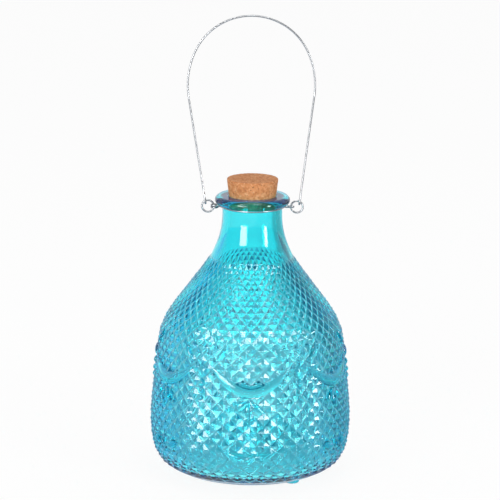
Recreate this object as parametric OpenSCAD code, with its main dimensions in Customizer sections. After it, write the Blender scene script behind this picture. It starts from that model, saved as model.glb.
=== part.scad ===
// Hanging glass wasp trap: a bell-shaped bottle of pressed glass with a funnel
// pushed up into its base, a tapered cork, a wire collar pinched round the neck,
// a link ring at each side of the collar and a wire bail hooked into the rings.
// The trap stands on three low feet. X runs from ring to ring, Z is up, and the
// origin lies on the bottle's axis, level with the feet.

/* [Glass body] */
// Widest diameter of the body, over its relief
body_d = 140; // [128:1:160]
// Height of the widest ring above the base ring
body_z = 38; // [34:1:44]
// Height of the lip's top above the base ring
bottle_h = 193.8; // [185:0.2:220]
// Thickness of the glass in the body and the funnel
wall = 3.2; // [2.4:0.1:4]
// Lean of the body's side from the vertical, in degrees
side_angle = 6; // [4:0.5:8]
// Lean of the shoulder's cone from the vertical, in degrees
shoulder_angle = 37; // [34:0.5:40]
// Radius where the shoulder turns down into the side
shoulder_r = 49; // [38:1:58]
// Radius where the neck flares out into the shoulder
flare_r = 57; // [45:1:65]
// Radius of the heel
heel_r = 19; // [15:0.5:22]

/* [Garland] */
// Number of swags round the body
swag_count = 6; // [5:1:6]
// Height of a swag's lowest point above the base ring
swag_z = 69; // [66:0.5:70]
// Height of a swag's ends above its lowest point
swag_drop = 20; // [17:0.5:21]
// Distance between a swag's ends
swag_w = 57; // [50:1:59]
// Thickness of a swag at its middle
swag_t = 9; // [6:0.5:10]
// Length of a leaf
leaf_l = 14; // [11:0.5:15]
// Width of a leaf
leaf_w = 6; // [4:0.5:8]
// Lean of the outer leaves under a swag, in degrees
leaf_lean = 52; // [45:1:60]
// Diameter of the rosette between two swags
rosette_d = 8.4; // [6:0.2:10]
// How far the garland stands out from the body
garland_h = 0.6; // [0.4:0.1:1]

/* [Base and funnel] */
// Diameter of the ring that the base curves down to
base_ring_d = 66; // [60:1:74]
// Radius at which that ring turns up into the funnel
base_rim_r = 7; // [5:0.5:9]
// Diameter of the wasps' hole at the top of the funnel
funnel_hole_d = 25; // [18:1:30]
// Height of the funnel's top above the base ring
funnel_h = 44; // [34:1:60]
// Number of feet under the base
foot_count = 3; // [3:1:6]
// Height of the feet below the base ring
foot_h = 1.5; // [1:0.1:4]
// Diameter of a foot
foot_d = 10; // [8:0.5:12]
// Diameter of the circle that the feet stand on
foot_circle_d = 84; // [80:1:90]
// Direction of the first foot, in degrees from the X axis
foot_turn = -46; // [-90:1:90]

/* [Neck and lip] */
// Outer diameter of the neck
neck_d = 41; // [38:0.5:46]
// Thickness of the neck's glass
neck_wall = 4.3; // [3:0.1:5]
// Depth of the straight neck, from the lip's top to the start of the flare
neck_h = 13; // [12.5:0.5:20]
// How far the rolled lip stands out from the neck
lip_reach = 5.2; // [4:0.1:7]
// Thickness of the rolled lip
lip_t = 6.3; // [5:0.1:7]
// Radius of the bore's top edge
mouth_edge_r = 1.2; // [0.6:0.1:2]

/* [Cork] */
// Length of the cork
cork_l = 21; // [18:0.5:30]
// How much wider the cork's top is than the bore
cork_over = 3; // [2:0.1:3.6]
// How much narrower the cork's bottom is than its top
cork_taper = 5.2; // [4.6:0.1:7]
// Radius of the cork's rounded edges
cork_edge_r = 0.9; // [0.4:0.1:1.5]

/* [Wire collar and rings] */
// Diameter of the collar, ring and bail wire
wire_d = 1.3; // [1:0.1:1.5]
// Gap between the collar and the lip above it
collar_drop = 0.3; // [0.2:0.1:1]
// How far the centre of each collar eye stands out from the neck
eye_reach = 5.4; // [4.8:0.1:8]
// Play of a ring's wire in the collar's eyes
eye_play = 0.8; // [0.7:0.05:1]
// Length of the straight wire before each eye
eye_shank = 3.2; // [2.6:0.1:4]
// Outer diameter of a link ring
ring_d = 9.4; // [8.8:0.1:12]
// Width of the split in a link ring
ring_split = 0.25; // [0.1:0.05:0.6]

/* [Bail] */
// Height of the bail's top above its hooks, between wire centres
bail_h = 127.4; // [110:1:160]
// Radius of the bail's top
arch_r = 41.8; // [38:0.1:50]
// Radius of the bail's sides, where they turn down into the legs
side_r = 56; // [50:1:70]
// Angle from the bail's top at which its sides start
side_from = 66; // [50:1:75]
// How far the bail's top sits to the right of the bottle's axis
arch_shift = -1.5; // [-4:0.5:4]
// How far outward of a ring's centre the bail hooks into it
hook_out = 1.8; // [1:0.1:2]
// Play of a ring's wire in the bail's hook
hook_play = 0.5; // [0.4:0.05:0.6]
// Height above the hook at which the leg is bent over the hook's centre
hook_neck_h = 8; // [6:0.5:12]

/* [Clearances] */
// Clearance of the cork and the collar on the glass
fit_gap = 0.1; // [0.05:0.01:0.2]
// Clearance where one wire pulls on another
link_gap = 0.3; // [0.25:0.05:0.4]

/* [Hidden] */
$fa = 5;
$fs = 0.6;
wire_sides = 36;
// Where two runs of wire meet, each stops this far short and a ball this much larger joins them
joint_gap = 0.05;
joint_over = 0.04;

body_r = body_d / 2;
neck_r = neck_d / 2;
mouth_r = neck_r - neck_wall;
ring_foot_r = base_ring_d / 2;
lip_top_z = foot_h + bottle_h;

// Gap between a swag and the leaves under it, and depth of the garland's root in the glass
leaf_gap = 2;
garland_root = 1;

// Angles, below the widest ring, where the heel starts and ends
heel_from = 10;
heel_to = 68;
// Largest distance between a true arc of the glass and its steps
arc_sag = 0.03;

// Upper heel and base radii that bring the heel from the widest ring to the base ring
heel_drop = body_z - heel_r * (sin(heel_to) - sin(heel_from));
heel_run = body_r - ring_foot_r - heel_r * (cos(heel_from) - cos(heel_to));
heel_det = sin(heel_from) * cos(heel_to) - (1 - sin(heel_to)) * (1 - cos(heel_from));
upper_heel_r = (heel_drop * cos(heel_to) - heel_run * (1 - sin(heel_to))) / heel_det;
base_r = (heel_run * sin(heel_from) - heel_drop * (1 - cos(heel_from))) / heel_det;

// Collar: the front strand lies above the back one, and both hug the neck
strand_lift = (wire_d + fit_gap) / 2;
collar_z = lip_top_z - lip_t - collar_drop - wire_d / 2 - strand_lift;
collar_r = neck_r + fit_gap + wire_d / 2;
eye_r = wire_d + eye_play;
eye_x = neck_r + eye_reach;
eye_bend_r = 2;
eye_sweep = 270;

// Link rings: each hangs on the outer wire of its eye
ring_r = (ring_d - wire_d) / 2;
ring_x = eye_x + eye_r - wire_d - link_gap + ring_r;
ring_split_at = 225;

// Bail hooks: each runs round the top of its ring, a little outward of the ring's centre
hook_r = wire_d + hook_play;
hook_x = ring_x + hook_out;
hook_z = collar_z + sqrt(pow(ring_r, 2) - pow(hook_out, 2));
hook_tip_at = 60;
leg_bend_r = 4;

function polar(r, a) = [r * cos(a), r * sin(a)];

// Points on an arc of radius r about c, from angle a0 to angle a1
function arc(c, r, a0, a1) =
    let (
        step = 2 * acos(1 - arc_sag / r),
        n = ceil(abs(a1 - a0) / step)
    )
    [for (i = [0:n]) c + polar(r, a0 + (a1 - a0) * i / n)];

function reversed(list) = [for (i = [len(list) - 1:-1:0]) list[i]];

// Direction, from the centre of a circle of radius r at c, of the point where a line
// from p touches it. side is 1 or -1 and picks one of the two such points.
function touch_angle(p, c, r, side) =
    atan2(p[1] - c[1], p[0] - c[0]) + side * acos(r / norm(p - c));

// ---- Glass ----

// From the start of the flare down to the upper heel: flare, cone, shoulder and side.
// inset is 0 for the outer surface and the wall's thickness for the inner one.
function flank(top_r, inset) =
    let (
        fr = flare_r + inset,
        sr = shoulder_r - inset,
        hr = upper_heel_r - inset,
        c = shoulder_angle,
        t = side_angle,
        top_z = bottle_h - neck_h,
        run = body_r - inset - hr * (1 - cos(t)) - top_r - fr * (1 - cos(c)) - sr * (cos(t) - cos(c)),
        drop = top_z - body_z - hr * sin(t) - fr * sin(c) - sr * (sin(c) - sin(t)),
        cone_l = (run * cos(t) - drop * sin(t)) / sin(c - t),
        flare = arc([top_r + fr, top_z], fr, 180, 180 + c),
        cone_end = flare[len(flare) - 1] + cone_l * [sin(c), -cos(c)],
        shoulder = arc(cone_end - polar(sr, c), sr, c, t)
    )
    concat(flare, shoulder);

// From the side down round the heel to the base ring
function heel(inset) =
    let (
        upper_c = [body_r - upper_heel_r, body_z],
        heel_c = upper_c + polar(upper_heel_r - heel_r, -heel_from)
    )
    concat(
        arc(upper_c, upper_heel_r - inset, side_angle, -heel_from),
        arc(heel_c, heel_r - inset, -heel_from, -heel_to),
        arc([ring_foot_r, base_r], base_r - inset, -heel_to, -90)
    );

// The funnel: in from the base ring, up to the hole, over its rim and back down
function funnel() =
    let (
        rim_c = [ring_foot_r, base_rim_r],
        hole_c = [(funnel_hole_d + wall) / 2, funnel_h - wall / 2],
        a = touch_angle(hole_c, rim_c, base_rim_r - wall / 2, 1)
    )
    concat(
        arc(rim_c, base_rim_r, 270, a),
        arc(hole_c, wall / 2, a, a - 180),
        arc(rim_c, base_rim_r - wall, a, 270)
    );

// The lip: over the bore's top edge, across and round the rolled bead to the neck
function lip() =
    let (
        bead_r = lip_t / 2,
        bead_c = [neck_r + lip_reach - bead_r, bottle_h - bead_r]
    )
    concat(
        arc([mouth_r + mouth_edge_r, bottle_h - mouth_edge_r], mouth_edge_r, 180, 90),
        arc(bead_c, bead_r, 90, -acos((neck_r - bead_c[0]) / bead_r))
    );

function glass_profile() =
    concat(
        lip(), flank(neck_r, 0), heel(0), funnel(),
        reversed(heel(wall)), reversed(flank(mouth_r, wall))
    );

module foot() {
    edge_r = foot_h * 0.6;
    // Height of the base's underside over the foot, and of the foot's hidden root
    over = base_r - sqrt(pow(base_r, 2) - pow(foot_circle_d / 2 - ring_foot_r, 2));
    root_z = foot_h + over + wall / 2;
    rotate_extrude()
        polygon(concat(
            [[0, 0]],
            arc([foot_d / 2 - edge_r, edge_r], edge_r, -90, 0),
            [[foot_d / 2, root_z], [0, root_z]]
        ));
}

// The conical skin of the body's side, in which the garland lies
module side_skin() {
    side_top = flank(neck_r, 0)[len(flank(neck_r, 0)) - 1];
    side_end = heel(0)[0];
    out = polar(1, side_angle);
    rotate_extrude()
        polygon([
            side_top + garland_h * out, side_top - garland_root * out,
            side_end - garland_root * out, side_end + garland_h * out
        ]);
}

// Radius of a circle on which a chord of half-width w stands h away from the arc's middle
function chord_r(w, h) = (pow(w, 2) + pow(h, 2)) / (2 * h);

// Round bar of radius r from the axis out to the front, at x and z
module front_bar(x, z, r) {
    translate([x, 0, z])
        rotate([90, 0, 0])
            cylinder(h = body_d, r = r);
}

// A crescent seen from the front
module swag_outline() {
    low_r = chord_r(swag_w / 2, swag_drop);
    high_r = chord_r(swag_w / 2, swag_drop - swag_t);
    difference() {
        front_bar(0, swag_z + low_r, low_r);
        front_bar(0, swag_z + swag_t + high_r, high_r);
    }
}

// A pointed leaf seen from the front, its stalk end at the height z and leaning by lean degrees
module leaf_outline(z, lean) {
    side_r = chord_r(leaf_l / 2, leaf_w / 2);
    translate([0, 0, z])
        rotate([0, lean, 0])
            intersection() {
                front_bar(side_r - leaf_w / 2, -leaf_l / 2, side_r);
                front_bar(leaf_w / 2 - side_r, -leaf_l / 2, side_r);
            }
}

// Swags hung from rosettes, with three leaves under each
module garland() {
    leaf_z = swag_z - leaf_gap;
    for (i = [0:swag_count - 1])
        rotate([0, 0, 360 * i / swag_count])
            intersection() {
                side_skin();
                union() {
                    swag_outline();
                    for (lean = [-leaf_lean, 0, leaf_lean])
                        leaf_outline(leaf_z, lean);
                    rotate([0, 0, 180 / swag_count])
                        front_bar(0, swag_z + swag_drop - rosette_d / 2, rosette_d / 2);
                }
            }
}

module glass_bottle() {
    color("deepskyblue", 0.5)
        union() {
            translate([0, 0, foot_h])
                rotate_extrude()
                    polygon(glass_profile());
            translate([0, 0, foot_h])
                garland();
            for (i = [0:foot_count - 1])
                rotate([0, 0, foot_turn + 360 * i / foot_count])
                    translate([foot_circle_d / 2, 0, 0])
                        foot();
        }
}

// ---- Cork ----

// The taper grips the bore's top edge, where the two have the same size but for the clearance
module cork_stopper() {
    top_r = mouth_r + cork_over / 2;
    bottom_r = top_r - cork_taper / 2;
    lean = atan(cork_taper / 2 / cork_l);
    seat_depth = (cork_over / 2 + fit_gap) / (cork_taper / 2) * cork_l;
    bottom_z = lip_top_z - mouth_edge_r + seat_depth - cork_l;
    // Centres of the edge arcs, set in so that they touch the sloping side
    inset_top = cork_edge_r * (1 - sin(lean)) / cos(lean);
    inset_bottom = cork_edge_r * (1 + sin(lean)) / cos(lean);
    top_c = [top_r - inset_top - cork_edge_r * tan(lean), cork_l - cork_edge_r];
    bottom_c = [bottom_r - inset_bottom + cork_edge_r * tan(lean), cork_edge_r];
    color("burlywood")
        translate([0, 0, bottom_z])
            rotate_extrude()
                polygon(concat(
                    [[0, 0]],
                    arc(bottom_c, cork_edge_r, -90, -lean),
                    arc(top_c, cork_edge_r, -lean, 90),
                    [[0, cork_l]]
                ));
}

// ---- Wire ----

// Moves what stands at the origin to p, and turns it to point along v
module point_along(p, v) {
    translate(p)
        rotate([0, acos(v[2] / norm(v)), atan2(v[1], v[0])])
            children();
}

// Straight wire from p to q, a hair short at both ends
module wire_line(p, q) {
    point_along(p, q - p)
        translate([0, 0, joint_gap])
            cylinder(h = norm(q - p) - 2 * joint_gap, d = wire_d, $fn = wire_sides);
}

// Wire on an arc of radius r about c, from angle a0 to a1 in the plane of the unit vectors u and v,
// a hair short at both ends
module wire_arc(c, u, v, r, a0, a1) {
    w = cross(u, v);
    trim = asin(joint_gap / r);
    multmatrix([
        [u[0], v[0], w[0], c[0]],
        [u[1], v[1], w[1], c[1]],
        [u[2], v[2], w[2], c[2]],
        [0, 0, 0, 1]
    ])
        rotate([0, 0, a0 + trim])
            rotate_extrude(angle = a1 - a0 - 2 * trim)
                translate([r, 0])
                    circle(d = wire_d, $fn = wire_sides);
}

// Where two runs of wire meet at p, running along v: a ball a hair larger than the wire
// takes both ends, with its poles inside them
module wire_joint(p, v) {
    point_along(p, v)
        sphere(d = wire_d + joint_over, $fn = wire_sides);
}

// One strand of the collar, on the side of the neck where y has the sign of side, at height z:
// half round the neck and out to both eyes
module strand(side, z) {
    eye_y = eye_r;
    corner = [eye_x - eye_shank, eye_y];
    // Where the wire leaves the neck, and the turn that brings it parallel to X
    leave = touch_angle(corner, [0, 0], collar_r, 1);
    turn = 90 - leave;
    setback = eye_bend_r * tan(turn / 2);
    bend_c = [corner[0] + setback, corner[1] + eye_bend_r];
    touch = polar(collar_r, leave);
    bend_start = corner + polar(setback, leave + 90);
    along = [1, 0, 0];
    across = [0, side, 0];
    base = [0, 0, z];
    wire_arc(base, along, across, collar_r, leave, 180 - leave);
    for (s = [1, -1]) {
        neck_end = base + [s * touch[0], side * touch[1], 0];
        bend_end = base + [s * bend_start[0], side * bend_start[1], 0];
        shank_end = base + [s * bend_c[0], side * eye_y, 0];
        eye_end = base + [s * eye_x, side * eye_y, 0];
        wire_line(neck_end, bend_end);
        wire_arc(base + [s * bend_c[0], side * bend_c[1], 0], s * along, across, eye_bend_r, 180 + leave, 270);
        wire_line(shank_end, eye_end);
        for (p = [neck_end, bend_end])
            wire_joint(p, bend_end - neck_end);
        for (p = [shank_end, eye_end])
            wire_joint(p, eye_end - shank_end);
    }
}

module neck_wire() {
    // The double bend leans, because it joins a high strand to a low one
    lean = atan(strand_lift / eye_r);
    double_bend_r = norm([strand_lift, eye_r]);
    color("silver")
        translate([0, 0, collar_z]) {
            strand(-1, strand_lift);
            strand(1, -strand_lift);
            // Right: the wire doubles back round the ring
            wire_arc([eye_x, 0, 0], [1, 0, 0], [0, cos(lean), -sin(lean)], double_bend_r, -90, 90);
            // Left: each end closes into an eye, one above the other
            for (side = [-1, 1])
                wire_arc([-eye_x, 0, -side * strand_lift], [-1, 0, 0], [0, -side, 0], eye_r, -90, eye_sweep - 90);
        }
}

// Split ring in the XZ plane. outward is 1 on the right and -1 on the left.
module link_ring(outward) {
    half_split = asin(ring_split / 2 / ring_r);
    color("silver")
        wire_arc(
            [outward * ring_x, 0, collar_z], [outward, 0, 0], [0, 0, 1], ring_r,
            ring_split_at + half_split, ring_split_at + 360 - half_split
        );
}

module link_ring_left() {
    link_ring(-1);
}

module link_ring_right() {
    link_ring(1);
}

// The half of the bail at one side. outward is 1 on the right and -1 on the left.
// The leg, the neck of the hook and the hook itself lie in one leaning plane.
module bail_half(outward) {
    shift = outward * arch_shift;
    arch_c = [shift, hook_z + bail_h - arch_r];
    side_c = arch_c + polar(arch_r - side_r, 90 - side_from);
    hook = [hook_x, hook_z];
    leg_at = touch_angle(hook, side_c, side_r, 1);
    leg_top = side_c + polar(side_r, leg_at);
    // Unit vectors outward along X, up the leg and square to the leg's plane
    x_dir = [outward, 0, 0];
    up = [outward * (leg_top - hook)[0], 0, (leg_top - hook)[1]] / norm(leg_top - hook);
    front = [0, -1, 0];
    hook_3d = [outward * hook[0], 0, hook[1]];
    // The hook's wire leaves it where it points at the leg's bend
    neck_at = acos(hook_r / hook_neck_h);
    neck_foot = hook_3d + hook_r * (cos(neck_at) * up + sin(neck_at) * front);
    leg_bend = hook_3d + hook_neck_h * up;
    bend_turn = 90 - neck_at;
    setback = leg_bend_r * tan(bend_turn / 2);
    bend_start = leg_bend + setback * (neck_foot - leg_bend) / norm(neck_foot - leg_bend);
    bend_c = leg_bend + setback * up + leg_bend_r * front;

    bend_end = leg_bend + setback * up;
    leg_top_3d = [outward * leg_top[0], 0, leg_top[1]];
    side_c_3d = [outward * side_c[0], 0, side_c[1]];
    arch_c_3d = [outward * arch_c[0], 0, arch_c[1]];
    arch_start = arch_c + polar(arch_r, 90 - side_from);
    arch_start_3d = [outward * arch_start[0], 0, arch_start[1]];

    wire_arc(hook_3d, up, front, hook_r, neck_at, 360 - hook_tip_at);
    wire_line(neck_foot, bend_start);
    wire_arc(bend_c, -front, up, leg_bend_r, -bend_turn, 0);
    wire_line(bend_end, leg_top_3d);
    wire_arc(side_c_3d, x_dir, [0, 0, 1], side_r, leg_at, 90 - side_from);
    wire_arc(arch_c_3d, x_dir, [0, 0, 1], arch_r, 90 - side_from, 90);
    for (p = [neck_foot, bend_start])
        wire_joint(p, bend_start - neck_foot);
    for (p = [bend_end, leg_top_3d])
        wire_joint(p, up);
    wire_joint(arch_start_3d, [-outward * cos(side_from), 0, sin(side_from)]);
}

module bail_wire() {
    color("silver") {
        bail_half(-1);
        bail_half(1);
        wire_joint([arch_shift, 0, hook_z + bail_h], [1, 0, 0]);
    }
}

glass_bottle();
cork_stopper();
neck_wire();
link_ring_left();
link_ring_right();
bail_wire();
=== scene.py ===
"""Hanging wasp trap: a bell-shaped bottle of pressed turquoise glass with a diamond relief and
a garland, a tapered cork, a wire collar with a link ring at each side and a wire bail."""

import math

import bmesh
import bpy
from mathutils import Matrix, Vector


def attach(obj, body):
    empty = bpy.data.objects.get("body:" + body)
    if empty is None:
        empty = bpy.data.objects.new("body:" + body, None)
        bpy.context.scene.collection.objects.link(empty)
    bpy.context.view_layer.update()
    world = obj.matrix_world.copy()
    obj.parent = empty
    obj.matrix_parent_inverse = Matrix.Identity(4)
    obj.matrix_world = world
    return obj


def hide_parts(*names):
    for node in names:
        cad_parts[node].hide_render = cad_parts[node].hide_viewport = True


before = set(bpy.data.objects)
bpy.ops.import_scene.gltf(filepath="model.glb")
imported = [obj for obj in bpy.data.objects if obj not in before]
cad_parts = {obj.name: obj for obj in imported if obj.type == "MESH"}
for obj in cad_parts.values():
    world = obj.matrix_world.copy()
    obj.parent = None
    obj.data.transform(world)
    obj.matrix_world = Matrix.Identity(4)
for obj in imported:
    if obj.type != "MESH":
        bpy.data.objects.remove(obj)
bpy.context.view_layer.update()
scene = bpy.context.scene

MM = 0.001

# Sizes of the bottle in millimetres, as it is pressed
FOOT_H = 1.5            # height of the base ring above the table
BODY_R = 70.0           # widest radius, over the relief's tips
BODY_Z = 38.0           # height of the widest ring above the base ring
BOTTLE_H = 193.8        # height of the lip's top above the base ring
WALL = 3.2
SIDE_ANGLE = 6.0        # lean of the side from the vertical, in degrees
SHOULDER_ANGLE = 37.0   # lean of the shoulder's cone from the vertical
SHOULDER_R = 49.0
FLARE_R = 57.0
HEEL_R = 19.0
HEEL_FROM, HEEL_TO = 10.0, 68.0
BASE_RING_R = 33.0
BASE_RIM_R = 7.0
FUNNEL_HOLE_R = 12.5
FUNNEL_H = 44.0
FEET, FOOT_R, FOOT_CIRCLE_R, FOOT_TURN = 3, 5.0, 42.0, -46.0
FOOT_EDGE_R = 0.9
FOOT_ROOT = 2.0         # how far a foot reaches up into the base
NECK_R, NECK_WALL, NECK_H = 20.5, 4.3, 13.0
LIP_REACH, LIP_T, MOUTH_EDGE_R = 5.2, 6.3, 1.2
MOUTH_R = NECK_R - NECK_WALL

# The relief: diamonds round the body, from a ring under the neck to a ring above the base
DIAMONDS_ROUND = 46
DIAMOND_H = 9.3         # a diamond's height where the body is widest
DIAMOND_SHRINK = 0.35   # how far a diamond's height follows the body's radius, 0 to 1
RELIEF_TOP_Z, RELIEF_END_Z = 151.5, 6.0
RELIEF_DEPTH = 1.8      # height of a pyramid where the body is widest
RELIEF_BLEND = 9.0      # how far past its end rows, and inside them, its ground sinks to that depth
RELIEF_UNEVEN = 0.04    # how far the glass's flow in the mould moves a corner, at most
RELIEF_WORN = 6         # how much of each facet the worn edge beside it takes, in percent
TOP_SEAM, END_SEAM = 2.5, 2.0   # least height of the strips that join the relief to the smooth glass
SEAM_REACH = 3.5        # how far from the relief's end an open edge still belongs to its strip
SMOOTH_COLUMNS = 112


# ---- Small tools ----

def linear(hex_colour):
    """A linear RGBA colour from an sRGB hex value."""
    parts = [int(hex_colour[i:i + 2], 16) / 255 for i in (0, 2, 4)]
    return [c / 12.92 if c <= 0.04045 else ((c + 0.055) / 1.055) ** 2.4 for c in parts] + [1.0]


def add_node(tree, kind, settings=None, inputs=None, stops=None):
    """Adds a node, sets its properties, and sets or links each named or numbered input. The stops
    of a colour ramp are (position, sRGB hex colour) pairs, the first at 0 and the last at 1."""
    node = tree.nodes.new(kind)
    for name, value in (settings or {}).items():
        setattr(node, name, value)
    for key, value in (inputs or {}).items():
        if isinstance(value, bpy.types.NodeSocket):
            tree.links.new(value, node.inputs[key])
        else:
            node.inputs[key].default_value = value
    if stops:
        # New stops sort themselves in between, so the two end ones are set first
        first, last = node.color_ramp.elements
        first.color = linear(stops[0][1])
        last.color = linear(stops[-1][1])
        for position, shade in stops[1:-1]:
            node.color_ramp.elements.new(position).color = linear(shade)
    return node


def new_material(name):
    material = bpy.data.materials.new(name)
    material.use_nodes = True
    material.node_tree.nodes.clear()
    return material, material.node_tree


def finish_name(piece, name):
    piece.name = name
    piece.data.name = name


def clear_selection():
    if bpy.context.mode != "OBJECT":
        bpy.ops.object.mode_set(mode="OBJECT")
    bpy.ops.object.select_all(action="DESELECT")


def select_only(piece):
    clear_selection()
    piece.select_set(True)
    bpy.context.view_layer.objects.active = piece


def settle(piece):
    """Leaves the piece at the origin, unturned and unscaled, with its place in its mesh."""
    select_only(piece)
    bpy.ops.object.transform_apply(location=True, rotation=True, scale=True)


def pick_edges(test):
    """Selects, in edit mode, the edges that pass the test, and nothing else."""
    mesh = bmesh.from_edit_mesh(bpy.context.edit_object.data)
    bpy.ops.mesh.select_mode(type="EDGE")
    bpy.ops.mesh.select_all(action="DESELECT")
    for edge in mesh.edges:
        edge.select_set(bool(test(edge)))
    mesh.select_flush_mode()
    bmesh.update_edit_mesh(bpy.context.edit_object.data)


def pick_faces(test):
    """Selects, in edit mode, the faces that pass the test, and nothing else."""
    mesh = bmesh.from_edit_mesh(bpy.context.edit_object.data)
    bpy.ops.mesh.select_mode(type="FACE")
    bpy.ops.mesh.select_all(action="DESELECT")
    for face in mesh.faces:
        face.select_set(bool(test(face)))
    mesh.select_flush_mode()
    bmesh.update_edit_mesh(bpy.context.edit_object.data)


def add_modifier(piece, kind, **settings):
    """Adds a modifier with its settings and applies it."""
    select_only(piece)
    modifier = piece.modifiers.new(kind.lower(), kind)
    for name, value in settings.items():
        setattr(modifier, name, value)
    bpy.ops.object.modifier_apply(modifier=modifier.name)


# ---- The bottle's section, in (radius, height above the base ring) ----

def polar(r, degrees):
    return Vector((r * math.cos(math.radians(degrees)), r * math.sin(math.radians(degrees))))


def arc(centre, r, start, end, sag=0.02):
    step = math.degrees(2 * math.acos(1 - sag / r))
    count = max(1, math.ceil(abs(end - start) / step))
    return [Vector(centre) + polar(r, start + (end - start) * i / count) for i in range(count + 1)]


def sin(degrees):
    return math.sin(math.radians(degrees))


def cos(degrees):
    return math.cos(math.radians(degrees))


HEEL_DROP = BODY_Z - HEEL_R * (sin(HEEL_TO) - sin(HEEL_FROM))
HEEL_RUN = BODY_R - BASE_RING_R - HEEL_R * (cos(HEEL_FROM) - cos(HEEL_TO))
HEEL_DET = sin(HEEL_FROM) * cos(HEEL_TO) - (1 - sin(HEEL_TO)) * (1 - cos(HEEL_FROM))
UPPER_HEEL_R = (HEEL_DROP * cos(HEEL_TO) - HEEL_RUN * (1 - sin(HEEL_TO))) / HEEL_DET
BASE_R = (HEEL_RUN * sin(HEEL_FROM) - HEEL_DROP * (1 - cos(HEEL_FROM))) / HEEL_DET


def flank(top_r, inset):
    """Flare, cone and shoulder, down to the side. inset is the depth under the outer surface."""
    fr, sr, hr = FLARE_R + inset, SHOULDER_R - inset, UPPER_HEEL_R - inset
    c, t = SHOULDER_ANGLE, SIDE_ANGLE
    top_z = BOTTLE_H - NECK_H
    run = BODY_R - inset - hr * (1 - cos(t)) - top_r - fr * (1 - cos(c)) - sr * (cos(t) - cos(c))
    drop = top_z - BODY_Z - hr * sin(t) - fr * sin(c) - sr * (sin(c) - sin(t))
    cone = (run * cos(t) - drop * sin(t)) / sin(c - t)
    flare = arc((top_r + fr, top_z), fr, 180, 180 + c)
    cone_end = flare[-1] + cone * Vector((sin(c), -cos(c)))
    return flare + arc(cone_end - polar(sr, c), sr, c, t)


def heel(inset):
    upper = Vector((BODY_R - UPPER_HEEL_R, BODY_Z))
    lower = upper + polar(UPPER_HEEL_R - HEEL_R, -HEEL_FROM)
    return (arc(upper, UPPER_HEEL_R - inset, SIDE_ANGLE, -HEEL_FROM)
            + arc(lower, HEEL_R - inset, -HEEL_FROM, -HEEL_TO)
            + arc((BASE_RING_R, BASE_R), BASE_R - inset, -HEEL_TO, -90))


def funnel():
    rim = Vector((BASE_RING_R, BASE_RIM_R))
    hole = Vector((FUNNEL_HOLE_R + WALL / 2, FUNNEL_H - WALL / 2))
    to_rim = hole - rim
    touch = math.degrees(math.atan2(to_rim.y, to_rim.x)
                         + math.acos((BASE_RIM_R - WALL / 2) / to_rim.length))
    return (arc(rim, BASE_RIM_R, 270, touch) + arc(hole, WALL / 2, touch, touch - 180)
            + arc(rim, BASE_RIM_R - WALL, touch, 270))


def lip():
    bead = LIP_T / 2
    centre = Vector((NECK_R + LIP_REACH - bead, BOTTLE_H - bead))
    return (arc((MOUTH_R + MOUTH_EDGE_R, BOTTLE_H - MOUTH_EDGE_R), MOUTH_EDGE_R, 180, 90)
            + arc(centre, bead, 90, -math.degrees(math.acos((NECK_R - centre.x) / bead))))


def without_doubles(points, least=0.05):
    kept = [points[0]]
    for p in points[1:]:
        if (p - kept[-1]).length > least:
            kept.append(p)
    return kept


outer = without_doubles(flank(NECK_R, 0) + heel(0))


class Skin:
    """The outer surface by its length from the neck: radius, height and outward slope."""

    def __init__(self, points):
        self.points = points
        self.length = [0.0]
        for a, b in zip(points, points[1:]):
            self.length.append(self.length[-1] + (b - a).length)

    def at(self, s, inset=0.0):
        s = min(max(s, 0.0), self.length[-1])
        i = max(k for k in range(len(self.length) - 1) if self.length[k] <= s)
        a, b = self.points[i], self.points[i + 1]
        t = (s - self.length[i]) / (self.length[i + 1] - self.length[i])
        along = (b - a).normalized()
        return a.lerp(b, t) + inset * Vector((along.y, -along.x))

    def at_height(self, z):
        for i, (a, b) in enumerate(zip(self.points, self.points[1:])):
            if a.y >= z >= b.y:
                return self.length[i] + (a.y - z) / max(a.y - b.y, 1e-9) * (b - a).length
        return self.length[-1]


skin = Skin(outer)


def relief_rows():
    """Lengths along the skin where the relief's rows of cells lie."""
    start, end = skin.at_height(RELIEF_TOP_Z), skin.at_height(RELIEF_END_Z)
    steps = 2000    # each about 0.1 mm long
    ds = (end - start) / steps
    cells = [0.0]
    for i in range(steps):
        share = (skin.at(start + (i + 0.5) * ds).x / BODY_R) ** DIAMOND_SHRINK
        cells.append(cells[-1] + ds / (DIAMOND_H * share))
    rows = round(cells[-1])
    found = []
    i = 0
    for row in range(rows + 1):
        want = cells[-1] * row / rows
        while i < steps and cells[i] < want:
            i += 1
        found.append(start + i * ds)
    return found


def lathe(name, stations, columns):
    """Rings of the given columns, pulled from one (radius, height) station to the next."""
    clear_selection()
    r, z = stations[0]
    bpy.ops.mesh.primitive_circle_add(vertices=columns, radius=r * MM, location=(0, 0, z * MM))
    piece = bpy.context.object
    finish_name(piece, name)
    settle(piece)
    bpy.ops.object.mode_set(mode="EDIT")
    bpy.ops.mesh.select_mode(type="EDGE")
    bpy.ops.mesh.select_all(action="SELECT")
    for (r0, z0), (r1, z1) in zip(stations, stations[1:]):
        bpy.ops.mesh.extrude_region_move(TRANSFORM_OT_translate={"value": (0, 0, (z1 - z0) * MM)})
        bpy.ops.transform.resize(value=(r1 / r0, r1 / r0, 1), center_override=(0, 0, z1 * MM))
    bpy.ops.object.mode_set(mode="OBJECT")
    return piece


def raised(points):
    """The points as stations, with the bottle standing on its feet."""
    return [(p.x, p.y + FOOT_H) for p in points]


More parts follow.
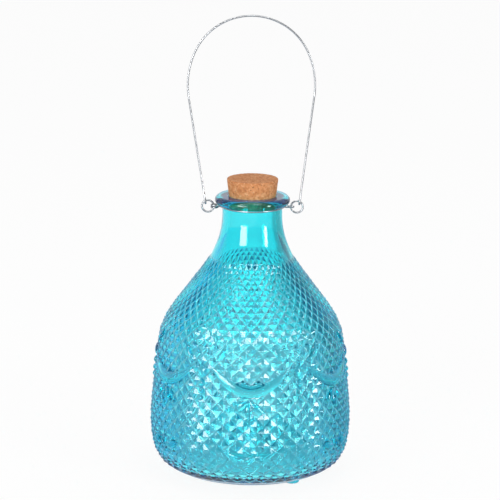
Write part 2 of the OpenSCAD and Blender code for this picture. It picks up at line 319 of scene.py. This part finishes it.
def relief_share(s):
    """How deep the relief's ground lies at a length along the skin, as a share of its full depth.
    The pyramids are lower where the body is narrower, and the ground rises beyond the end rows."""
    inside = min(s - skin.at_height(RELIEF_TOP_Z), skin.at_height(RELIEF_END_Z) - s)
    t = min(1.0, max(0.0, (inside + RELIEF_BLEND) / (2 * RELIEF_BLEND)))
    return t * t * (3 - 2 * t) * skin.at(s).x / BODY_R


def ground_at(s):
    """The relief's ground, where the foot of a pyramid would lie, at a length along the skin."""
    return skin.at(s, RELIEF_DEPTH * relief_share(s))


def relief_zone():
    """The body's diamonds: cells poked and turned into diamonds, each drawn up to a point."""
    stations = [ground_at(s) for s in relief_rows()]
    piece = lathe("relief", raised(stations), DIAMONDS_ROUND)
    bpy.ops.object.mode_set(mode="EDIT")
    bpy.ops.mesh.select_all(action="SELECT")
    # Rings pulled downwards face the axis
    bpy.ops.mesh.flip_normals()
    corners = len(piece.data.vertices)
    bpy.ops.mesh.poke(offset=0)
    pick_edges(lambda e: not e.is_boundary and all(v.index < corners for v in e.verts))
    bpy.ops.mesh.dissolve_edges(use_verts=False)
    # The pyramids are drawn up in tenths of their full height
    for tenths in range(11):
        pick_faces(lambda f: len(f.verts) == 4 and tenths == round(
            10 * relief_share(skin.at_height(f.calc_center_median().z / MM - FOOT_H))))
        bpy.ops.mesh.poke(offset=RELIEF_DEPTH * MM * tenths / 10)
    # Pressed glass is never quite even. The draws go by the corners' order, and the operators above don't
    # keep that from run to run, so each run moves the corners a little differently.
    pick_edges(lambda e: not any(v.is_boundary for v in e.verts))
    bpy.ops.transform.vertex_random(offset=RELIEF_UNEVEN * MM, seed=4)
    # The fire has worn every ridge, tip and valley a little
    pick_edges(lambda e: not e.is_boundary)
    bpy.ops.mesh.bevel(offset_type="PERCENT", offset_pct=RELIEF_WORN, segments=1, clamp_overlap=True)
    bpy.ops.object.mode_set(mode="OBJECT")
    bpy.ops.object.shade_smooth_by_angle(angle=math.radians(60))
    return piece


def smooth_zone():
    """Everything smooth: base ring, funnel, inner wall, lip and neck, in one run of rings."""
    loop = without_doubles(
        lip() + outer + funnel() + list(reversed(heel(WALL))) + list(reversed(flank(MOUTH_R, WALL))))
    sunk = {tuple(p): ground_at(s) for p, s in zip(outer, skin.length)}
    before = [p for p in loop if tuple(p) in sunk and p.y > RELIEF_TOP_Z + TOP_SEAM]
    after = [p for p in loop if tuple(p) in sunk and p.y < RELIEF_END_Z - END_SEAM]
    first = loop.index(after[0])
    last = loop.index(before[-1])
    top, end = ground_at(skin.at_height(RELIEF_TOP_Z)), ground_at(skin.at_height(RELIEF_END_Z))
    chain = [end] + [sunk.get(tuple(p), p) for p in loop[first:] + loop[:last + 1]] + [top]
    return lathe("smooth", raised(chain), SMOOTH_COLUMNS)


def join(pieces):
    clear_selection()
    for piece in pieces:
        piece.select_set(True)
    bpy.context.view_layer.objects.active = pieces[0]
    bpy.ops.object.join()
    return bpy.context.object


def bottle_shell():
    """Relief and smooth glass bridged into one closed wall."""
    shell = join([relief_zone(), smooth_zone()])
    bpy.ops.object.mode_set(mode="EDIT")
    for end_z in (RELIEF_TOP_Z, RELIEF_END_Z):
        z = (end_z + FOOT_H) * MM
        pick_edges(lambda e: e.is_boundary and abs(sum(v.co.z for v in e.verts) / 2 - z) < SEAM_REACH * MM)
        bpy.ops.mesh.bridge_edge_loops()
    bpy.ops.mesh.select_all(action="SELECT")
    bpy.ops.mesh.normals_make_consistent(inside=False)
    bpy.ops.object.mode_set(mode="OBJECT")
    select_only(shell)
    bpy.ops.object.shade_smooth_by_angle(angle=math.radians(40), keep_sharp_edges=True)
    return shell


# ---- The garland, drawn flat: across, up and outward from the relief's ground, in mm ----

SWAGS = 6
SWAG_STEP = 2 * math.pi * BODY_R / SWAGS
SWAG_W, SWAG_Z, SWAG_DROP, SWAG_T = 60.0, 69.0, 20.0, 9.0
LEAF_L, LEAF_W, LEAF_LEAN, LEAF_GAP = 14.0, 6.0, 52.0, 2.0
ROSETTE_R = 4.2
HUNG_BEADS = ((7.8, 2.4), (13.2, 2.0), (17.8, 1.6))     # (depth under the rosette, radius)
# Two leaves spread from a bead low on the body, and two lean together over each rosette
SPRIG_Z, SPRIG_APART, SPRIG_L, SPRIG_W, SPRIG_LEAN = 28.0, 4.8, 15.0, 5.6, 76.0
SPRIG_BEAD_R = 1.9
CREST_Z, CREST_ASIDE, CREST_L, CREST_W, CREST_LEAN = 93.0, 10.0, 13.0, 5.2, 38.0
SWAG_TIP_T = 0.4        # half thickness of a swag at its ends
GROUND_DEPTH = 1.2      # depth of the relief's ground under its tips, where the garland lies
BOSS_T = 1.8            # half thickness of the garland's leaves and swags


def stroke(points, widths, sides=4):
    """A pillowed stroke through the points, with a half-width at each, thinned to BOSS_T."""
    clear_selection()
    bpy.ops.curve.primitive_bezier_curve_add(location=(0, 0, 0))
    curve = bpy.context.object
    curve.data.splines.clear()
    line = curve.data.splines.new("NURBS")
    line.points.add(len(points) - 1)
    for point, (u, v), width in zip(line.points, points, widths):
        point.co = (u * MM, 0, v * MM, 1)
        point.radius = width
    line.order_u = 4
    line.use_endpoint_u = True
    line.resolution_u = 5
    curve.data.dimensions = "3D"
    curve.data.bevel_depth = MM
    curve.data.bevel_resolution = sides
    curve.data.use_fill_caps = True
    bpy.ops.object.convert(target="MESH")
    piece = bpy.context.object
    bpy.ops.object.mode_set(mode="EDIT")
    bpy.ops.mesh.select_all(action="SELECT")
    bpy.ops.mesh.remove_doubles(threshold=0.01 * MM)
    bpy.ops.transform.resize(value=(1, BOSS_T / max(widths), 1), center_override=(0, 0, 0))
    bpy.ops.mesh.normals_make_consistent(inside=False)
    bpy.ops.object.mode_set(mode="OBJECT")
    return piece


def leaf(u, v, length, width, lean):
    """A pointed leaf from its stalk at (u, v), leaning from the vertical by lean degrees."""
    shares = (0, 0.12, 0.3, 0.5, 0.72, 0.9, 1)
    outline = (0.12, 0.45, 0.9, 1.0, 0.72, 0.3, 0.08)
    bow = 0.12 * length * (1 if lean > 0 else -1 if lean < 0 else 0)
    points = []
    for t in shares:
        along, aside = t * length, bow * 4 * t * (1 - t)
        points.append((u + along * sin(lean) + aside * cos(lean),
                       v + along * cos(lean) - aside * sin(lean)))
    return stroke(points, [width * w for w in outline], sides=3)


def bead(u, v, r):
    """A round bead at (u, v), no thicker than the leaves."""
    clear_selection()
    bpy.ops.mesh.primitive_uv_sphere_add(segments=18, ring_count=12, radius=r * MM,
                                         location=(u * MM, 0, v * MM))
    piece = bpy.context.object
    piece.scale = (1, min(1, BOSS_T / r), 1)
    settle(piece)
    return piece


def swag_unit():
    """One swag with the leaves under it, a rosette at its side and the beads that hang there."""
    half = SWAG_STEP / 2
    pieces = []
    points = []
    widths = []
    count = 11
    for i in range(count):
        t = 2 * i / (count - 1) - 1
        points.append((t * SWAG_W / 2, SWAG_Z + SWAG_T / 2 + (SWAG_DROP - SWAG_T / 2) * t * t))
        widths.append(SWAG_TIP_T + (SWAG_T / 2 - SWAG_TIP_T) * (1 - t * t) ** 0.8)
    pieces.append(stroke(points, widths))
    for lean in (180 - LEAF_LEAN, 180, 180 + LEAF_LEAN):
        pieces.append(leaf(0, SWAG_Z - LEAF_GAP, LEAF_L, LEAF_W / 2, lean))
    for side in (-1, 1):
        pieces.append(leaf(side * SPRIG_APART / 2, SPRIG_Z, SPRIG_L, SPRIG_W / 2, side * SPRIG_LEAN))
        pieces.append(leaf(side * (half - CREST_ASIDE), CREST_Z, CREST_L, CREST_W / 2, side * -CREST_LEAN))
    rosette_z = SWAG_Z + SWAG_DROP - ROSETTE_R
    for depth, r in ((0.0, ROSETTE_R),) + HUNG_BEADS:
        pieces.append(bead(half, rosette_z - depth, r))
    pieces.append(bead(0, SPRIG_Z, SPRIG_BEAD_R))
    return join(pieces)


def wrap_on_body(piece, turn):
    """Lays a flat piece round the body: across becomes round, and outward starts at the ground."""
    for vertex in piece.data.vertices:
        u, w, v = (c / MM for c in vertex.co)
        ground = skin.at(skin.at_height(v), GROUND_DEPTH)
        angle = math.radians(turn - 90) + u / BODY_R
        r = ground.x - w
        vertex.co = (r * math.cos(angle) * MM, r * math.sin(angle) * MM, (v + FOOT_H) * MM)


def garland():
    """One unit for each swag, each wrapped at its own place round the body."""
    unit = swag_unit()
    pieces = []
    for i in range(SWAGS):
        copy = unit.copy()
        copy.data = unit.data.copy()
        scene.collection.objects.link(copy)
        wrap_on_body(copy, 360 * i / SWAGS)
        pieces.append(copy)
    bpy.data.objects.remove(unit)
    return pieces


def foot(turn):
    """One of the feet, with its lower edge rounded and its root inside the glass of the base."""
    clear_selection()
    bpy.ops.mesh.primitive_cylinder_add(
        vertices=40, radius=FOOT_R * MM, depth=(FOOT_H + FOOT_ROOT) * MM,
        location=(FOOT_CIRCLE_R * cos(turn) * MM, FOOT_CIRCLE_R * sin(turn) * MM,
                  (FOOT_H + FOOT_ROOT) / 2 * MM))
    piece = bpy.context.object
    settle(piece)
    bpy.ops.object.mode_set(mode="EDIT")
    pick_edges(lambda e: all(v.co.z < 0.1 * MM for v in e.verts))
    bpy.ops.mesh.bevel(offset=FOOT_EDGE_R * MM, segments=4)
    bpy.ops.object.mode_set(mode="OBJECT")
    return piece


def embossed_bottle():
    """The whole bottle: its wall with garland and feet melted on."""
    bottle = bottle_shell()
    added = join(garland() + [foot(FOOT_TURN + 360 * i / FEET) for i in range(FEET)])
    select_only(added)
    bpy.ops.object.mode_set(mode="EDIT")
    bpy.ops.mesh.select_all(action="SELECT")
    bpy.ops.mesh.normals_make_consistent(inside=False)
    bpy.ops.object.mode_set(mode="OBJECT")
    add_modifier(bottle, "BOOLEAN", operation="UNION", object=added, solver="MANIFOLD")
    bpy.data.objects.remove(added)
    select_only(bottle)
    bpy.ops.object.shade_smooth_by_angle(angle=math.radians(40), keep_sharp_edges=True)
    # Keeps each facet flat to the eye, with all its rounding in the worn edge
    add_modifier(bottle, "WEIGHTED_NORMAL", keep_sharp=True, weight=90)
    finish_name(bottle, "embossed_bottle")
    return bottle


# ---- Cork and wires ----

CORK_L, CORK_OVER, CORK_TAPER, CORK_EDGE_R = 21.0, 3.0, 5.2, 0.9
CORK_RING, CORK_TOP_RINGS = 0.5, 24
CORK_SIDES = 160
CORK_PIT, CORK_PIT_DEPTH = 0.9, 0.22
FIT_GAP = 0.1


def cork():
    """The stopper, a cone cut into fine rings, with the crumbled places of its surface pushed in."""
    top_r = MOUTH_R + CORK_OVER / 2
    seat_depth = (CORK_OVER / 2 + FIT_GAP) / (CORK_TAPER / 2) * CORK_L
    top_z = FOOT_H + BOTTLE_H - MOUTH_EDGE_R + seat_depth
    clear_selection()
    bpy.ops.mesh.primitive_cone_add(
        vertices=CORK_SIDES, radius1=(top_r - CORK_TAPER / 2) * MM, radius2=top_r * MM, depth=CORK_L * MM,
        location=(0, 0, (top_z - CORK_L / 2) * MM))
    piece = bpy.context.object
    settle(piece)
    bpy.ops.object.mode_set(mode="EDIT")
    pick_edges(lambda e: e.calc_face_angle(0) > 1)
    bpy.ops.mesh.bevel(offset=CORK_EDGE_R * MM, segments=3)
    for z in range(1, round(CORK_L / CORK_RING)):
        pick_faces(lambda f: len(f.verts) == 4)
        bpy.ops.mesh.bisect(plane_co=(0, 0, (top_z - z * CORK_RING) * MM), plane_no=(0, 0, 1))
    for i in range(CORK_TOP_RINGS):
        pick_faces(lambda f: len(f.verts) > 4)
        bpy.ops.mesh.inset(thickness=top_r / (CORK_TOP_RINGS + 2) * MM)
    pick_faces(lambda f: len(f.verts) > 4)
    bpy.ops.mesh.poke(offset=0)
    bpy.ops.object.mode_set(mode="OBJECT")
    crumbs = bpy.data.textures.new("crumbled cork", "STUCCI")
    crumbs.noise_scale, crumbs.turbulence = CORK_PIT * MM, 5
    add_modifier(piece, "DISPLACE", texture=crumbs, texture_coords="LOCAL", mid_level=1.0,
                 strength=CORK_PIT_DEPTH * MM)
    bpy.ops.object.shade_smooth_by_angle(angle=math.radians(50))
    finish_name(piece, "agglomerated_cork")
    return piece


def drawn_wire(node, name):
    """The wire's own shape with its loose triangles joined, so that light runs along it smoothly."""
    select_only(bpy.data.objects[node])
    bpy.ops.object.duplicate()
    piece = bpy.context.object
    settle(piece)
    bpy.ops.mesh.customdata_custom_splitnormals_clear()
    bpy.ops.object.mode_set(mode="EDIT")
    bpy.ops.mesh.select_all(action="SELECT")
    bpy.ops.mesh.remove_doubles(threshold=0.002 * MM)
    bpy.ops.object.mode_set(mode="OBJECT")
    bpy.ops.object.shade_smooth_by_angle(angle=math.radians(50))
    finish_name(piece, name)
    return piece


# ---- Materials ----

def pressed_glass():
    # Soda-lime glass coloured in the melt, pressed in a mould and fire-polished: clear and bright, deeper
    # in colour where it is thick, and a little wavy where it flowed. The waves are drawn 5 mm wide and
    # 0.05 mm deep. What the volume's colour lacks, times its density, is taken out per metre: most of the
    # red in one wall, and little of the rest.
    material, tree = new_material("pressed soda-lime glass, turquoise, fire-polished")
    out = add_node(tree, "ShaderNodeOutputMaterial")
    place = add_node(tree, "ShaderNodeTexCoord").outputs["Object"]
    flow = add_node(tree, "ShaderNodeTexNoise", inputs={
        "Vector": place, "Scale": 1 / (5 * MM), "Detail": 1.0})
    wave = add_node(tree, "ShaderNodeBump", inputs={
        "Height": flow.outputs["Fac"], "Strength": 1.0, "Distance": 0.05 * MM})
    shader = add_node(tree, "ShaderNodeBsdfPrincipled", inputs={
        "Base Color": linear("FFFFFF"), "Roughness": 0.03, "IOR": 1.52, "Transmission Weight": 1.0,
        "Normal": wave.outputs[0]})
    tree.links.new(shader.outputs[0], out.inputs["Surface"])
    absorb = add_node(tree, "ShaderNodeVolumeAbsorption", inputs={
        "Color": linear("00F8FB"), "Density": 400.0})
    tree.links.new(absorb.outputs[0], out.inputs["Volume"])
    return material


def agglomerated_cork():
    # Ground cork pressed with a binder: matt, each granule its own tan, with dark crumbled pits
    material, tree = new_material("agglomerated cork, ground and pressed")
    out = add_node(tree, "ShaderNodeOutputMaterial")
    place = add_node(tree, "ShaderNodeTexCoord").outputs["Object"]
    warp = add_node(tree, "ShaderNodeTexNoise", inputs={
        "Vector": place, "Scale": 1 / (2.0 * MM), "Detail": 2.0})
    bend = add_node(tree, "ShaderNodeVectorMath", {"operation": "MULTIPLY_ADD"},
                    {0: warp.outputs["Color"], 1: (0.8 * MM,) * 3, 2: place}).outputs[0]
    granule = add_node(tree, "ShaderNodeTexVoronoi", inputs={"Vector": bend, "Scale": 1 / (1.3 * MM)})
    pick = add_node(tree, "ShaderNodeSeparateColor", inputs={0: granule.outputs["Color"]})
    tan = add_node(tree, "ShaderNodeValToRGB", inputs={0: pick.outputs[0]}, stops=(
        (0.0, "BC7445"), (0.35, "CC8753"), (0.7, "D69361"), (1.0, "E0A676"))).outputs[0]
    pit = add_node(tree, "ShaderNodeTexNoise", inputs={
        "Vector": place, "Scale": 1 / (1.1 * MM), "Detail": 3.0, "Roughness": 0.6})
    dark = add_node(tree, "ShaderNodeMapRange", inputs={
        "Value": pit.outputs["Fac"], "From Min": 0.6, "From Max": 0.7})
    colour = add_node(tree, "ShaderNodeMix", {"data_type": "RGBA"}, {
        0: dark.outputs[0], 6: tan, 7: linear("6B3F28")})
    bump = add_node(tree, "ShaderNodeBump", inputs={
        "Height": granule.outputs["Distance"], "Strength": 0.35, "Distance": 0.3 * MM})
    shader = add_node(tree, "ShaderNodeBsdfPrincipled", inputs={
        "Base Color": colour.outputs[2], "Roughness": 0.85, "IOR": 1.45, "Normal": bump.outputs[0]})
    tree.links.new(shader.outputs[0], out.inputs["Surface"])
    return material


def drawn_steel():
    # Steel wire drawn through a die and zinc plated: bright, and faintly cloudy
    material, tree = new_material("drawn steel wire, bright zinc plated")
    out = add_node(tree, "ShaderNodeOutputMaterial")
    place = add_node(tree, "ShaderNodeTexCoord").outputs["Object"]
    cloud = add_node(tree, "ShaderNodeTexNoise", inputs={
        "Vector": place, "Scale": 1 / (6 * MM), "Detail": 2.0})
    dull = add_node(tree, "ShaderNodeMapRange", inputs={
        "Value": cloud.outputs["Fac"], "From Min": 0.35, "From Max": 0.65, "To Min": 0.26, "To Max": 0.38})
    tone = add_node(tree, "ShaderNodeMix", {"data_type": "RGBA"}, {
        0: cloud.outputs["Fac"], 6: linear("B0B2B5"), 7: linear("9A9C9F")})
    shader = add_node(tree, "ShaderNodeBsdfPrincipled", inputs={
        "Base Color": tone.outputs[2], "Metallic": 1.0, "Roughness": dull.outputs[0]})
    tree.links.new(shader.outputs[0], out.inputs["Surface"])
    return material


def dress(piece, material, node, body):
    piece.data.materials.clear()
    piece.data.materials.append(material)
    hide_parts(node)
    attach(piece, body)


dress(embossed_bottle(), pressed_glass(), "glass_bottle", "bottle")
dress(cork(), agglomerated_cork(), "cork_stopper", "cork")
steel = drawn_steel()
for node, name, body in (("neck_wire", "neck_collar_wire", "collar"),
                         ("link_ring_left", "left_split_ring", "ring_left"),
                         ("link_ring_right", "right_split_ring", "ring_right"),
                         ("bail_wire", "carrying_bail_wire", "bail")):
    dress(drawn_wire(node, name), steel, node, body)

# ---- Camera ----

CAMERA_ASIDE, CAMERA_BACK, CAMERA_H = -1.3, 1700.0, 568.0
PITCH, ROLL = 13.604, 0.6
LENS, SENSOR_W = 183.5, 36

camera = bpy.data.objects.new("camera", bpy.data.cameras.new("camera"))
scene.collection.objects.link(camera)
camera.data.sensor_width = SENSOR_W
camera.data.lens = LENS
camera.data.clip_start = 0.05
camera.data.clip_end = 50
camera.matrix_world = (Matrix.Translation((CAMERA_ASIDE * MM, -CAMERA_BACK * MM, CAMERA_H * MM))
                       @ Matrix.Rotation(math.radians(90 - PITCH), 4, "X")
                       @ Matrix.Rotation(math.radians(ROLL), 4, "Z"))
scene.camera = camera


# ---- Studio ----

BACKDROP_TOP, BACKDROP_EDGE = 34, 8     # elevation of the backdrops' upper edge and half its blur
CEILING_GREY = 0.35
SHADED_SIDE = 0.35                      # how bright the backdrop on the far right is
SHADE_FROM, SHADE_TO = 0.25, 0.5        # where that shade starts and ends, as a sine
ROOM_GREY = 0.3
AIR_TINT_REACH = 0.8                    # how far aside the backdrops turn coolest, as a sine

# The floor as glass and metal see it, with its painted shadow and painted light, in metres and in shares of
# white
PAINTED_SHADOW_MIDDLE = (0, 0.12, 0)             # the darkest place, behind the bottle
FLOOR_NEAR, FLOOR_FAR = 0.03, 0.65
FLOOR_PAINTED_SHADOW, FLOOR_LIT = 0.33, 0.95
# Painted light on the paper in front of the bottle: where it starts and is full, in metres, and its gain
FRONT_FROM, FRONT_TO, FRONT_PAINTED_LIGHT = -0.01, -0.06, 0.35
# The painted bright ring under the heel, in place of light the heel would bend there: its radius, how far
# off it the painted glow starts and is full, and its gain
HEEL_RING_R, HEEL_RING_OUT, HEEL_RING_IN, HEEL_PAINTED_GLOW = 0.07, 0.015, 0.008, 0.35
# Painted shade on the paper's far right: where it starts and is full, as x in metres, and how bright it
# leaves the paper
RIGHT_FROM, RIGHT_TO, RIGHT_PAINTED_SHADE = 0.18, 0.3, 0.25
# Painted cool shade on the paper: how far aside it is full, and from and to what distance from the painted
# shadow's middle it fades, in metres
FLOOR_TINT_REACH = 0.1
TINT_FROM, TINT_TO = 0.2, 0.5
FLOOR_GLOW = 1.08
FLOOR_SEEN = 0.85                       # how much of the white that the camera sees is glow


def seen_directly(tree):
    """1 where the ray comes straight from the camera, or by a reflection or through glass."""
    path = add_node(tree, "ShaderNodeLightPath")
    first = add_node(tree, "ShaderNodeMath", {"operation": "MAXIMUM"},
                     {0: path.outputs["Is Camera Ray"], 1: path.outputs["Is Glossy Ray"]})
    return add_node(tree, "ShaderNodeMath", {"operation": "MAXIMUM"},
                    {0: first.outputs[0], 1: path.outputs["Is Transmission Ray"]}).outputs[0]


def side_tint(tree, across, reach):
    """White in the middle and cooler towards either side, most so on the right."""
    place = add_node(tree, "ShaderNodeMapRange", inputs={
        "Value": across, "From Min": -reach, "From Max": reach}).outputs[0]
    return add_node(tree, "ShaderNodeValToRGB", inputs={0: place}, stops=(
        (0.0, "A9CDF8"), (0.35, "FFFFFF"), (0.62, "FFFFFF"), (1.0, "9DBEE0"))).outputs[0]


def surroundings():
    """White backdrops all round, less lit on the right, and over them the room's grey ceiling."""
    world = bpy.data.worlds.new("studio")
    scene.world = world
    world.use_nodes = True
    tree = world.node_tree
    tree.nodes.clear()
    direction = add_node(tree, "ShaderNodeTexCoord").outputs["Generated"]
    toward = add_node(tree, "ShaderNodeSeparateXYZ", inputs={0: direction}).outputs
    ceiling = add_node(tree, "ShaderNodeMapRange", {"interpolation_type": "SMOOTHSTEP"}, {
        "Value": toward["Z"], "From Min": sin(BACKDROP_TOP - BACKDROP_EDGE),
        "From Max": sin(BACKDROP_TOP + BACKDROP_EDGE), "To Min": 1.0, "To Max": CEILING_GREY})
    shade = add_node(tree, "ShaderNodeMapRange", {"interpolation_type": "SMOOTHSTEP"}, {
        "Value": toward["X"], "From Min": SHADE_FROM, "From Max": SHADE_TO,
        "To Min": 1.0, "To Max": SHADED_SIDE})
    lit = add_node(tree, "ShaderNodeMath", {"operation": "MULTIPLY"},
                   {0: ceiling.outputs[0], 1: shade.outputs[0]})
    tinted = add_node(tree, "ShaderNodeVectorMath", {"operation": "MULTIPLY"},
                      {0: lit.outputs[0], 1: side_tint(tree, toward["X"], AIR_TINT_REACH)})
    # A mirror image in glass or metal shows the dimmer room in front of the backdrops
    mirrored = add_node(tree, "ShaderNodeMapRange", {"interpolation_type": "SMOOTHSTEP"}, {
        "Value": toward["Y"], "From Min": -0.1, "From Max": 0.5, "To Min": ROOM_GREY, "To Max": 1.0})
    fill = add_node(tree, "ShaderNodeBackground", inputs={"Color": linear("FFFFFF"), "Strength": 0.55})
    room = add_node(tree, "ShaderNodeBackground", inputs={"Color": mirrored.outputs[0], "Strength": 1.0})
    backdrops = add_node(tree, "ShaderNodeBackground", inputs={"Color": tinted.outputs[0], "Strength": 1.0})
    white = add_node(tree, "ShaderNodeBackground", inputs={"Color": linear("FFFFFF"), "Strength": 1.0})
    path = add_node(tree, "ShaderNodeLightPath")
    mix = fill
    for ray, seen in (("Is Glossy Ray", room), ("Is Transmission Ray", backdrops), ("Is Camera Ray", white)):
        mix = add_node(tree, "ShaderNodeMixShader",
                       inputs={0: path.outputs[ray], 1: mix.outputs[0], 2: seen.outputs[0]})
    add_node(tree, "ShaderNodeOutputWorld", inputs={"Surface": mix.outputs[0]})


def paper_with_painted_light():
    # Matt white paper that glows. The camera sees it as white. Glass and metal see painted shade and light
    # on it: a painted shadow near the bottle, tinted with a painted blue glow that stands in for the light
    # the glass would gather, and painted cool shade to the sides.
    material, tree = new_material("matt white paper, glowing, with painted shade and light")
    paper = add_node(tree, "ShaderNodeBsdfDiffuse", inputs={"Color": linear("C8C8C8")})
    place = add_node(tree, "ShaderNodeTexCoord").outputs["Object"]
    sides = add_node(tree, "ShaderNodeSeparateXYZ", inputs={0: place}).outputs
    reach = add_node(tree, "ShaderNodeVectorMath", {"operation": "DISTANCE"},
                     {0: place, 1: PAINTED_SHADOW_MIDDLE}).outputs["Value"]
    # Painted shadow: glass and metal see the paper dim near the bottle, darkest behind it
    far = add_node(tree, "ShaderNodeMapRange", inputs={
        "Value": reach, "From Min": FLOOR_NEAR, "From Max": FLOOR_FAR,
        "To Min": FLOOR_PAINTED_SHADOW, "To Max": FLOOR_LIT})
    # Painted light on the paper's front edge under the bottle, where the lamps in front would light it
    front = add_node(tree, "ShaderNodeMapRange", inputs={
        "Value": sides["Y"], "From Min": FRONT_FROM, "From Max": FRONT_TO,
        "To Min": 0.0, "To Max": FRONT_PAINTED_LIGHT})
    lit = add_node(tree, "ShaderNodeMath", {"operation": "ADD"}, {0: far.outputs[0], 1: front.outputs[0]})
    # A painted bright ring on the paper under the heel, where the thick heel would bend more light onto it
    close = add_node(tree, "ShaderNodeVectorMath", {"operation": "LENGTH"}, {0: place}).outputs["Value"]
    off = add_node(tree, "ShaderNodeMath", {"operation": "SUBTRACT"}, {0: close, 1: HEEL_RING_R})
    off = add_node(tree, "ShaderNodeMath", {"operation": "ABSOLUTE"}, {0: off.outputs[0]})
    ring = add_node(tree, "ShaderNodeMapRange", inputs={
        "Value": off.outputs[0], "From Min": HEEL_RING_OUT, "From Max": HEEL_RING_IN,
        "To Min": 0.0, "To Max": HEEL_PAINTED_GLOW})
    lit = add_node(tree, "ShaderNodeMath", {"operation": "ADD"}, {0: lit.outputs[0], 1: ring.outputs[0]})
    # Painted shade on the paper's far right, as the backdrop over it is shaded
    right = add_node(tree, "ShaderNodeMapRange", inputs={
        "Value": sides["X"], "From Min": RIGHT_FROM, "From Max": RIGHT_TO,
        "To Min": 1.0, "To Max": RIGHT_PAINTED_SHADE})
    seen = add_node(tree, "ShaderNodeMath", {"operation": "MULTIPLY", "use_clamp": True},
                    {0: seen_directly(tree), 1: lit.outputs[0]})
    seen = add_node(tree, "ShaderNodeMath", {"operation": "MULTIPLY"},
                    {0: seen.outputs[0], 1: right.outputs[0]})
    camera_ray = add_node(tree, "ShaderNodeLightPath").outputs["Is Camera Ray"]
    share = add_node(tree, "ShaderNodeMix", inputs={0: camera_ray, 2: seen.outputs[0], 3: FLOOR_SEEN})
    # Painted blue glow where the painted shadow is deepest, in place of the light that the glass would
    # gather
    blue = add_node(tree, "ShaderNodeMix", {"data_type": "RGBA"}, {
        0: lit.outputs[0], 6: linear("62B4E8"), 7: linear("FFFFFF")})
    near = add_node(tree, "ShaderNodeMapRange", inputs={
        "Value": reach, "From Min": TINT_FROM, "From Max": TINT_TO, "To Min": 1.0, "To Max": 0.0})
    # Painted cool shade towards either side, most on the right, laid on near the bottle
    cool = add_node(tree, "ShaderNodeMix", {"data_type": "RGBA", "blend_type": "MULTIPLY"}, {
        0: near.outputs[0], 6: blue.outputs[2], 7: side_tint(tree, sides["X"], FLOOR_TINT_REACH)})
    tint = add_node(tree, "ShaderNodeMix", {"data_type": "RGBA"}, {
        0: camera_ray, 6: cool.outputs[2], 7: linear("FFFFFF")})
    glow = add_node(tree, "ShaderNodeEmission", inputs={"Color": tint.outputs[2], "Strength": FLOOR_GLOW})
    mix = add_node(tree, "ShaderNodeMixShader",
                   inputs={0: share.outputs[0], 1: paper.outputs[0], 2: glow.outputs[0]})
    add_node(tree, "ShaderNodeOutputMaterial", inputs={"Surface": mix.outputs[0]})
    return material


def softbox(name, azimuth, elevation, distance, width, height, power, only_mirrored=False):
    """A lamp at an azimuth from the camera's side of the object, aimed at the bottle."""
    lamp = bpy.data.objects.new(name, bpy.data.lights.new(name, "AREA"))
    scene.collection.objects.link(lamp)
    lamp.data.shape = "RECTANGLE"
    lamp.data.size = width
    lamp.data.size_y = height
    lamp.data.energy = power
    round_z = math.radians(azimuth - 90)
    rise = math.radians(elevation)
    aim = Vector((0, 0, 0.12))
    place = aim + distance * Vector((math.cos(round_z) * math.cos(rise), math.sin(round_z) * math.cos(rise),
                                     math.sin(rise)))
    lamp.location = place
    lamp.rotation_euler = (place - aim).to_track_quat("Z", "Y").to_euler()
    lamp.visible_diffuse = not only_mirrored


surroundings()

clear_selection()
bpy.ops.mesh.primitive_plane_add(size=6, location=(0, 0, 0))
floor = bpy.context.object
finish_name(floor, "floor")
floor.data.materials.append(paper_with_painted_light())

softbox("softbox left", -31, 6, 2.0, 0.85, 1.2, 26)
softbox("strip right", 51, 6, 2.0, 0.4, 1.1, 16)
softbox("softbox top", 0, 80, 1.8, 1.0, 1.0, 5)
# Highlights in the glass, which a matt surface takes no light from
softbox("sheen left", -31, 6, 1.99, 0.75, 1.1, 14, only_mirrored=True)
softbox("sheen right", 51, 6, 1.99, 0.35, 1.0, 9, only_mirrored=True)
softbox("sheen top", 0, 62.5, 2.0, 2.2, 0.3, 20, only_mirrored=True)

# Light crosses several walls of glass with facets on them, so it may bend many times
scene.cycles.max_bounces = 32
scene.cycles.transmission_bounces = 32
scene.cycles.glossy_bounces = 32
scene.view_settings.view_transform = "Standard"
